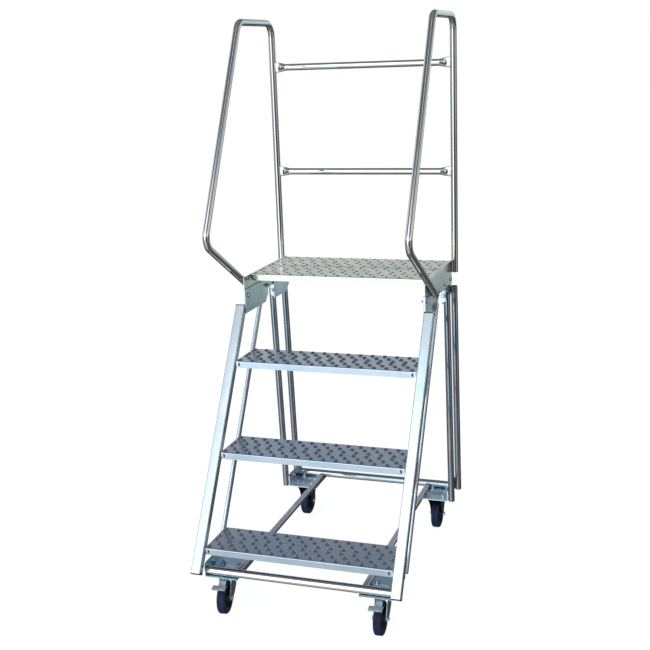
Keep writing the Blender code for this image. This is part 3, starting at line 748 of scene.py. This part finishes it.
def flattened_bar(name, node):
    """A tube whose ends are pressed flat and flare up and down beside the posts."""
    low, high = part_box(node)
    y, z = 0.5 * (low.y + high.y) - Y0, 0.5 * (low.z + high.z)
    end = high.x
    stations = []
    shape = [
        (0.262, 0.0110, 0.0110), (0.268, 0.0102, 0.0118), (0.275, 0.0078, 0.0136), (0.282, 0.0058, 0.0150), (0.288, 0.0046, 0.0160), (0.2935, 0.0042, 0.0166), (end, 0.0040, 0.0168),
    ]
    for x, ry, rz in reversed(shape):
        stations.append((-x, ry, rz))
    for x in np.linspace(-0.25, 0.25, 12):
        stations.append((float(x), 0.011, 0.011))
    stations += [(x, ry, rz) for x, ry, rz in shape]
    sides = 36
    verts, faces, rows = [], [], []
    for x, ry, rz in stations:
        square = (rz - 0.011) / 0.0058
        row = []
        for k in range(sides):
            t = 2 * math.pi * k / sides
            c, s = math.cos(t), math.sin(t)
            p = 1.0 - 0.45 * square
            row.append(len(verts))
            verts.append((x, y + ry * math.copysign(abs(c) ** p, c), z + rz * s))
        rows.append(row)
    for x, ry, rz in reversed(stations):
        row = []
        for k in range(sides):
            t = 2 * math.pi * k / sides
            row.append(len(verts))
            verts.append((x, y + max(0.0006, ry - 0.0015) * math.cos(t), z + (rz - 0.0015) * math.sin(t)))
        rows.append(row)
    for a, b in zip(rows, rows[1:] + rows[:1]):
        for k in range(sides):
            j = (k + 1) % sides
            faces.append([a[k], a[j], b[j], b[k]])
    mesh = build(name, verts, faces, 45.0)
    return show(name, mesh, "rail_chrome", "frame", [node])


guard_kit = Kit()
for node in ("guard_bar_upper", "guard_bar_lower"):
    flattened_bar(node + "_pressed", node)
    low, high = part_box(node)
    y, z = 0.5 * (low.y + high.y) - Y0, 0.5 * (low.z + high.z)
    for side in (-1.0, 1.0):
        for face in (-1.0, 1.0):
            guard_kit.dome((side * 0.2800, y + face * 0.0058, z), (0.0, face, 0.0), 0.0038, 0.0010)
show("guard_bar_rivets", guard_kit.mesh("guard_bar_rivets"), "bolt_zinc", "frame")


# ---------------------------------------------------------------- rectangular tubes
def box_tube(name, origin, u, v, along, length, width, depth, corner, wall, rungs=24):
    """A rounded rectangular tube. u and v span its section from one corner, along runs its length."""
    origin, u, v, along = Vector(origin), Vector(u), Vector(v), Vector(along)
    verts, faces, rows = [], [], []
    outer = round_corners([(0, 0), (width, 0), (width, depth), (0, depth)], corner, 4)
    w = wall
    inner = round_corners([(w, w), (width - w, w), (width - w, depth - w), (w, depth - w)], max(0.0006, corner - wall), 4)
    for loop, order in ((outer, range(rungs + 1)), (inner, range(rungs, -1, -1))):
        for k in order:
            base = origin + along * (length * k / rungs)
            row = []
            for a, b in loop:
                row.append(len(verts))
                verts.append(tuple(base + u * a + v * b))
            rows.append(row)
    n = len(outer)
    for a, b in zip(rows, rows[1:] + rows[:1]):
        for k in range(n):
            j = (k + 1) % n
            faces.append([a[k], a[j], b[j], b[k]])
    return build(name, verts, faces, 60.0)


SLOPE = 0.6158
ALONG = Vector((0.0, SLOPE, 1.0)).normalized()
BACK = Vector((0.0, ALONG.z, -ALONG.y))
for label, side in SIDES:
    for kind, y_floor, deep, z0, z1 in (("front", -0.1339, 0.025, 0.148, 0.870), ("rear", 0.0177, 0.020, 0.150, 0.870)):
        node = f"{kind}_stile_{label}"
        low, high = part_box(node)
        foot = Vector((low.x, y_floor + SLOPE * z0, z0))
        name = f"{kind}_stile_tube_{label}"
        mesh = box_tube(name, foot, (1, 0, 0), BACK, ALONG, (z1 - z0) / ALONG.z, high.x - low.x, deep, 0.0028, 0.0015)
        show(name, mesh, "stile_zinc", "frame", [node], even=True)
    node = f"base_rail_{label}"
    low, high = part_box(node)
    name = f"base_rail_tube_{label}"
    mesh = box_tube(name, (low.x, low.y - Y0, low.z), (1, 0, 0), (0, 0, 1), (0, 1, 0), high.y - low.y, high.x - low.x, high.z - low.z, 0.0048, 0.0015)
    show(name, mesh, "base_zinc", "frame", [node], even=True)

# ---------------------------------------------------------------- plates, brackets and caps
for label, side in SIDES:
    dressed(f"side_plate_{label}", 0.0006)
    dressed(f"front_bracket_{label}", 0.0007)
    dressed(f"rear_bracket_{label}", 0.0007)
    dressed(f"stile_cap_bottom_{label}", 0.0007)
    dressed(f"stile_cap_top_{label}", 0.0007)


def corner_bracket(node, end, side):
    """A folded angle: a flat for the caster and an upright with clipped corners."""
    low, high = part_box(node)
    y0, y1 = low.y - Y0, high.y - Y0
    outer = max(abs(low.x), abs(high.x))
    inner = min(abs(low.x), abs(high.x))
    base, tall = low.z, high.z
    thick, radius = 0.003, 0.0045
    arc = 0.5 * math.pi * radius
    line = outer - radius
    reach = line + arc + (tall - base - radius)
    clip = 0.012
    outline = round_corners(
        [(inner, y0), (line + arc + 0.004, y0), (reach - clip * 0.6, y0), (reach, y0 + clip), (reach, y1 - clip), (reach - clip * 0.6, y1), (line + arc + 0.004, y1), (inner, y1)],
        [0.004, 0, 0.003, 0.003, 0.003, 0.003, 0, 0.004],
        4,
    )
    lines = [[(line + s, y0), (line + s, y1)] for s in (-0.0005, 0.0, arc / 4, arc / 2, 3 * arc / 4, arc, arc + 0.0005)]

    def skin(points, inset):
        u, v = points[:, 0], points[:, 1]
        along, across = bend(u - line, radius, inset)
        x = side * (line + along)
        return np.stack([x, v, base + across], axis=1)

    mesh = sheet(node + "_folded", outline, [], lines, lambda p: skin(p, 0.0), lambda p: skin(p, thick), 50.0)
    return show(node + "_folded", mesh, SLOT_OF[node], "frame", [node])


for label, side in SIDES:
    for end in ("front", "rear"):
        corner_bracket(f"corner_bracket_{end}_{label}", end, side)

# ---------------------------------------------------------------- bolts of the frame
for label, side in SIDES:
    kit = Kit()
    web_low, web_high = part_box(f"front_bracket_{label}")
    web_in = min(abs(web_low.x), abs(web_high.x))
    web_out = web_in + 0.003
    plate_low, plate_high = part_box(f"side_plate_{label}")
    plate_out = max(abs(plate_low.x), abs(plate_high.x))
    outward, inward = (side, 0, 0), (-side, 0, 0)
    # through the webs: heads outside, nuts inside
    for y, z, out, turn in ((0.432, 0.8985, web_out, 0.1), (0.593, 0.897, plate_out, 0.3), (0.678, 0.903, plate_out, 0.2), (0.768, 0.901, plate_out, 0.4)):
        kit.hexagon((side * out, y, z), outward, phase=turn)
        kit.nut((side * web_in, y, z), inward, phase=turn + 0.2)
    # the rear web's lug
    lug_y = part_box(f"rear_bracket_{label}")[0].y - Y0
    kit.nut((side * 0.2992, lug_y, 0.8665), (0, -1, 0), radius=0.0055, high=0.0042, stands=0.0025, phase=0.15)
    show(f"platform_bolts_{label}", kit.mesh(f"platform_bolts_{label}"), "bolt_zinc", "frame")

    kit = Kit()
    for end in ("front", "rear"):
        low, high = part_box(f"corner_bracket_{end}_{label}")
        top = low.z + 0.003
        if end == "front":
            low_p, high_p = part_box(f"caster_plate_front_{label}")
            cx, cy = 0.5 * (low_p.x + high_p.x), 0.5 * (low_p.y + high_p.y) - Y0
            boss = (side * 0.2450, 0.0515 + 0.0010)
            upright = (0.048, 0.088)
        else:
            low_p, high_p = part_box(f"caster_fork_rear_{label}")
            cx, cy = 0.5 * (low_p.x + high_p.x), 0.5 * (low_p.y + high_p.y) - Y0
            boss = (side * 0.2440, cy)
            upright = (0.762, 0.802)
        for dx in (-0.0265, 0.0265):
            for dy in (-0.0335, 0.0335):
                kit.nut((cx + dx, cy + dy, top), (0, 0, 1), radius=0.0072, high=0.0052, thread=0.0038, stands=0.0045, phase=0.3 + dx * 9 + dy * 7)
        for y in upright:
            kit.nut((side * web_in, y, 0.1505), inward, radius=0.0055, high=0.0042, stands=0.0030, phase=y * 3)
            kit.hexagon((side * web_out, y, 0.1505), outward, radius=0.0055, high=0.0034, phase=y * 5)
        # the shallow pad pressed up over the caster's centre
        kit.turned(
            (boss[0], boss[1], top),
            (0, 0, 1),
            [(-0.0002, 0.0), (-0.0002, 0.0215), (0.0008, 0.0208), (0.0022, 0.0185), (0.0030, 0.0150), (0.0032, 0.0100), (0.0030, 0.0)],
            44,
        )
    show(f"base_bolts_{label}", kit.mesh(f"base_bolts_{label}"), "bolt_zinc", "frame")


# ---------------------------------------------------------------- casters
def wheel_matrix(joint):
    """The wheel's own axes: x along its axle, z up, from its centre."""
    j = JOINTS[joint]
    x = Vector(j["axis"]).normalized()
    z = Vector((0, 0, 1))
    y = z.cross(x).normalized()
    at = Vector(j["pos_m"])
    matrix = Matrix((x, y, z)).transposed().to_4x4()
    matrix.translation = Vector((at.x, at.y - Y0, at.z))
    return matrix


def arc_points(ca, cr, radius, a0, a1, steps):
    return [(ca + radius * math.cos(math.radians(a0 + (a1 - a0) * k / steps)), cr + radius * math.sin(math.radians(a0 + (a1 - a0) * k / steps))) for k in range(steps + 1)]


def tyre_profile(half, tread, bore):
    """Rounded tread with a fine mould line, flat sides and a bead against the rim."""
    right = [(0.0, tread - 0.00025), (0.0004, tread - 0.00002), (half - 0.0062, tread)]
    right += arc_points(half - 0.0060, tread - 0.0060, 0.0060, 84, 6, 7)[0:]
    right += [(half, tread - 0.0082), (half - 0.0006, bore + 0.0016), (half - 0.0011, bore + 0.0007), (half - 0.0011, bore)]
    left = [(-a, r) for a, r in reversed(right[1:])]
    return right + left


for end in ("front", "rear"):
    for label, side in SIDES:
        tag = f"{end}_{label}"
        joint = f"spin_{tag}"
        m = wheel_matrix(joint)
        centre, axis = m.translation.copy(), m.col[0].to_3d()
        wheel_body = JOINTS[joint]["child"]
        holder = JOINTS[joint]["parent"]
        tread = JOINTS[joint]["pos_m"][2]
        kit = Kit()
        kit.turned(centre, axis, tyre_profile(0.013, tread, 0.0373), 84, ring=True)
        show(f"tyre_{tag}_moulded", kit.mesh(f"tyre_{tag}_moulded", 55.0), "tyre_rubber", wheel_body, [f"tyre_{tag}"])
        kit = Kit()
        half_rim = [(0.0, 0.0370), (0.0104, 0.0370), (0.0113, 0.0366), (0.0117, 0.0358), (0.0115, 0.0345), (0.0104, 0.0338), (0.0056, 0.0328), (0.0044, 0.0318), (0.0040, 0.0300), (0.0040, 0.0150), (0.0050, 0.0136), (0.0140, 0.0122), (0.0152, 0.0116), (0.0155, 0.0108), (0.0155, 0.0052), (0.0150, 0.0044)]
        rim = half_rim + [(-a, r) for a, r in reversed(half_rim[1:])]
        kit.turned(centre, axis, rim, 64, ring=True)
        for k in range(8):
            turn = m @ Matrix.Rotation(2 * math.pi * (k + 0.5) / 8, 4, "X")
            for face in (-1, 1):
                a, b = sorted((face * 0.0038, face * 0.0098))
                kit.slab(turn, (a, -0.0011, 0.0125), (b, 0.0011, 0.0330))
        show(f"rim_{tag}_moulded", kit.mesh(f"rim_{tag}_moulded", 45.0), "rim_plastic", wheel_body, [f"rim_{tag}"])
        kit = Kit()
        kit.turned(centre, axis, [(-0.0210, 0.0), (-0.0210, 0.0040), (0.0262, 0.0040), (0.0262, 0.0)], 24)
        kit.hexagon(centre - axis * 0.0207, -axis, radius=0.0070, high=0.0040, washer=False, phase=0.2)
        kit.nut(centre + axis * 0.0207, axis, radius=0.0070, high=0.0048, thread=0.0038, stands=0.0018, washer=False, phase=0.45)
        show(f"axle_{tag}_bolt", kit.mesh(f"axle_{tag}_bolt"), "bolt_zinc", holder, [f"axle_{tag}"])
        dressed(f"caster_fork_{tag}", 0.0007)

for label, side in SIDES:
    tag = f"front_{label}"
    low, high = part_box(f"caster_plate_{tag}")
    cx, cy = 0.5 * (low.x + high.x), 0.5 * (low.y + high.y) - Y0
    outline = round_corners([(low.x, low.y - Y0), (high.x, low.y - Y0), (high.x, high.y - Y0), (low.x, high.y - Y0)], 0.008, 6)
    z0, z1 = low.z, high.z
    mesh = sheet(
        f"caster_plate_{tag}_pressed", outline, [circle(cx, cy, 0.0056, 32)], [],
        lambda p, z=z1: np.column_stack([p, np.full(len(p), z)]),
        lambda p, z=z0: np.column_stack([p, np.full(len(p), z)]),
    )
    show(f"caster_plate_{tag}_pressed", mesh, "bolt_zinc", "frame", [f"caster_plate_{tag}"], bevel=0.0004)
    kit = Kit()
    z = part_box(f"swivel_race_{tag}")[0].z
    kit.turned((cx, cy, z), (0, 0, 1), [(0.0052, 0.0062), (0.0052, 0.0140), (0.0058, 0.0168), (0.0070, 0.0174), (0.0080, 0.0168), (0.0089, 0.0150), (0.0089, 0.0062)], 48, ring=True)
    kit.turned((cx, cy, z), (0, 0, 1), [(0.0, 0.0062), (0.0, 0.0140), (0.0008, 0.0160), (0.0022, 0.0172), (0.0034, 0.0166), (0.0040, 0.0140), (0.0040, 0.0062)], 48, ring=True)
    for k in range(16):
        t = 2 * math.pi * k / 16
        rows = [(0.0015 * math.sin(a), 0.0015 * math.cos(a)) for a in np.linspace(-0.5 * math.pi, 0.5 * math.pi, 9)]
        rows[0], rows[-1] = (-0.0015, 0.0), (0.0015, 0.0)
        kit.turned((cx + 0.0150 * math.cos(t), cy + 0.0150 * math.sin(t), z + 0.0046), (0, 0, 1), rows, 14)
    show(f"swivel_race_{tag}_cups", kit.mesh(f"swivel_race_{tag}_cups"), "bolt_zinc", "frame", [f"swivel_race_{tag}"])
    low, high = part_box(f"kingpin_{tag}")
    kit = Kit()
    kit.turned((cx, cy, low.z), (0, 0, 1), [(0.0, 0.0), (0.0, 0.0050), (0.0006, 0.0074), (0.0014, 0.0084), (0.0030, 0.0085), (0.0034, 0.0080), (0.0034, 0.0053), (high.z - low.z - 0.0006, 0.0053), (high.z - low.z, 0.0047), (high.z - low.z, 0.0)], 36)
    show(f"kingpin_{tag}_turned", kit.mesh(f"kingpin_{tag}_turned"), "bolt_zinc", "frame", [f"kingpin_{tag}"])
    dressed(f"brake_pedal_{tag}", 0.0005)


# ---------------------------------------------------------------- floor, sky and camera
def stage_floor():
    mesh = bpy.data.meshes.new("studio_floor")
    size = 40.0
    mesh.from_pydata([(-size, -size, 0), (size, -size, 0), (size, size, 0), (-size, size, 0)], [], [(0, 1, 2, 3)])
    made = bpy.data.objects.new("studio_floor", mesh)
    bpy.context.scene.collection.objects.link(made)
    finish = bpy.data.materials.new("studio_floor_white")
    finish.use_nodes = True
    g = Graph(finish.node_tree)
    out = g.add("ShaderNodeOutputMaterial")
    matte = g.add("ShaderNodeBsdfDiffuse")
    matte.inputs["Color"].default_value = (0.90, 0.90, 0.90, 1.0)
    glow = g.add("ShaderNodeEmission")
    glow.inputs["Color"].default_value = (1.0, 1.0, 1.0, 1.0)
    glow.inputs["Strength"].default_value = 1.52
    seen = g.add("ShaderNodeLightPath")
    mix = g.add("ShaderNodeMixShader")
    g.link(g.math("MULTIPLY", seen.outputs["Is Camera Ray"], 0.60), mix.inputs[0])
    g.link(matte.outputs[0], mix.inputs[1])
    g.link(glow.outputs[0], mix.inputs[2])
    g.link(mix.outputs[0], out.inputs["Surface"])
    mesh.materials.append(finish)
    made.visible_glossy = False
    made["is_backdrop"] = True
    return made


stage_floor()


def sky():
    """A dim studio with a bright ceiling and a few soft lit panels. The camera sees plain white."""
    world = bpy.context.scene.world or bpy.data.worlds.new("studio")
    bpy.context.scene.world = world
    world.use_nodes = True
    g = Graph(world.node_tree)
    out = g.add("ShaderNodeOutputWorld")
    where = g.add("ShaderNodeTexCoord")
    split = g.add("ShaderNodeSeparateXYZ")
    g.link(where.outputs["Generated"], split.inputs[0])
    x, y, z = split.outputs
    elevation = g.math("DIVIDE", g.math("ARCSINE", z), math.pi / 180)
    azimuth = g.math("DIVIDE", g.math("ARCTAN2", x, g.math("MULTIPLY", y, -1.0)), math.pi / 180)

    ramp = g.add("ShaderNodeValToRGB")
    g.link(g.math("DIVIDE", g.math("ADD", elevation, 90.0), 180.0), ramp.inputs["Fac"])
    stops = [
        (-90, (0.13, 0.12, 0.11)), (-45, (0.10, 0.10, 0.095)), (-24, (0.070, 0.075, 0.080)), (-5, (0.060, 0.064, 0.068)),
        (0, (0.16, 0.17, 0.18)), (4, (0.46, 0.53, 0.58)), (8, (0.70, 0.76, 0.80)), (13, (0.70, 0.76, 0.80)), (17, (0.46, 0.50, 0.56)),
        (24, (0.32, 0.37, 0.43)), (34, (0.18, 0.20, 0.23)), (46, (0.10, 0.11, 0.12)), (60, (0.19, 0.19, 0.18)), (90, (0.24, 0.23, 0.21)),
    ]
    ramp.color_ramp.interpolation = "LINEAR"
    elements = ramp.color_ramp.elements
    while len(elements) > 1:
        elements.remove(elements[-1])
    elements[0].position = 0.0
    for k, (angle, value) in enumerate(stops):
        position = (angle + 90) / 180
        element = elements[0] if k == 0 else elements.new(position)
        element.position = position
        element.color = (*value, 1.0)
    base = g.add("ShaderNodeVectorMath", operation="SCALE")
    g.link(ramp.outputs["Color"], base.inputs[0])
    base.inputs["Scale"].default_value = 1.0
    total = base.outputs[0]

    def panel(centre, half, soft, low, high, colour, fade=(8, 8)):
        """A soft-edged bright area: azimuth centre and half-width, and its range of elevation, in degrees."""
        nonlocal total
        gap = g.math("ABSOLUTE", g.math("WRAP", g.math("SUBTRACT", azimuth, centre), 180.0, -180.0))
        across = g.span(gap, half, half + soft, 1.0, 0.0)
        up = g.math("MULTIPLY", g.span(elevation, low - fade[0], low + fade[0], 0.0, 1.0), g.span(elevation, high - fade[1], high + fade[1], 1.0, 0.0))
        amount = g.math("MULTIPLY", across, up)
        lit = g.add("ShaderNodeVectorMath", operation="SCALE")
        lit.inputs[0].default_value = colour
        g.link(amount, lit.inputs["Scale"])
        add = g.add("ShaderNodeVectorMath", operation="ADD")
        g.link(total, add.inputs[0])
        g.link(lit.outputs[0], add.inputs[1])
        total = add.outputs[0]

    panel(-16, 11, 12, -24, 46, (1.50, 1.72, 1.82), fade=(15, 3.5))
    panel(-16, 40, 20, -80, -27, (0.46, 0.39, 0.36))
    panel(16, 2.5, 2.5, 34, 66, (1.6, 1.6, 1.6), fade=(6, 6))
    panel(-62, 4, 4, -22, 12, (0.85, 0.74, 0.70))
    panel(75, 4, 3, -25, 34, (0.90, 0.80, 0.70))
    panel(160, 8, 6, -13.5, 3, (0.44, 0.55, 0.53), fade=(2.0, 8))
    panel(-104, 8, 6, -30, 30, (0.40, 0.46, 0.54))
    panel(116, 14, 6, -20, 8, (0.10, 0.06, 0.04))
    lit = g.add("ShaderNodeBackground")
    g.link(total, lit.inputs["Color"])
    lit.inputs["Strength"].default_value = 1.0
    plain = g.add("ShaderNodeBackground")
    plain.inputs["Color"].default_value = (1.0, 1.0, 1.0, 1.0)
    plain.inputs["Strength"].default_value = 1.0
    seen = g.add("ShaderNodeLightPath")
    mix = g.add("ShaderNodeMixShader")
    g.link(seen.outputs["Is Camera Ray"], mix.inputs[0])
    g.link(lit.outputs[0], mix.inputs[1])
    g.link(plain.outputs[0], mix.inputs[2])
    g.link(mix.outputs[0], out.inputs["Surface"])


sky()

view = bpy.context.scene.view_settings
view.view_transform = "Standard"
view.look = "None"


def set_camera():
    azimuth, elevation, roll = math.radians(19.1197), math.radians(14.0242), math.radians(-2.0945)
    back = Vector((math.sin(azimuth) * math.cos(elevation), -math.cos(azimuth) * math.cos(elevation), math.sin(elevation)))
    right = Vector((0, 0, 1)).cross(back).normalized()
    up = back.cross(right)
    right, up = right * math.cos(roll) + up * math.sin(roll), up * math.cos(roll) - right * math.sin(roll)
    data = bpy.data.cameras.new("camera")
    data.lens = 60.0
    data.sensor_width = 36.0
    data.clip_end = 200.0
    made = bpy.data.objects.new("camera", data)
    matrix = Matrix((right, up, back)).transposed().to_4x4()
    matrix.translation = Vector((1.0575, -2.7155 + Y0, 1.6420))
    made.matrix_world = matrix
    bpy.context.scene.collection.objects.link(made)
    bpy.context.scene.camera = made


set_camera()

low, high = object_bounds()
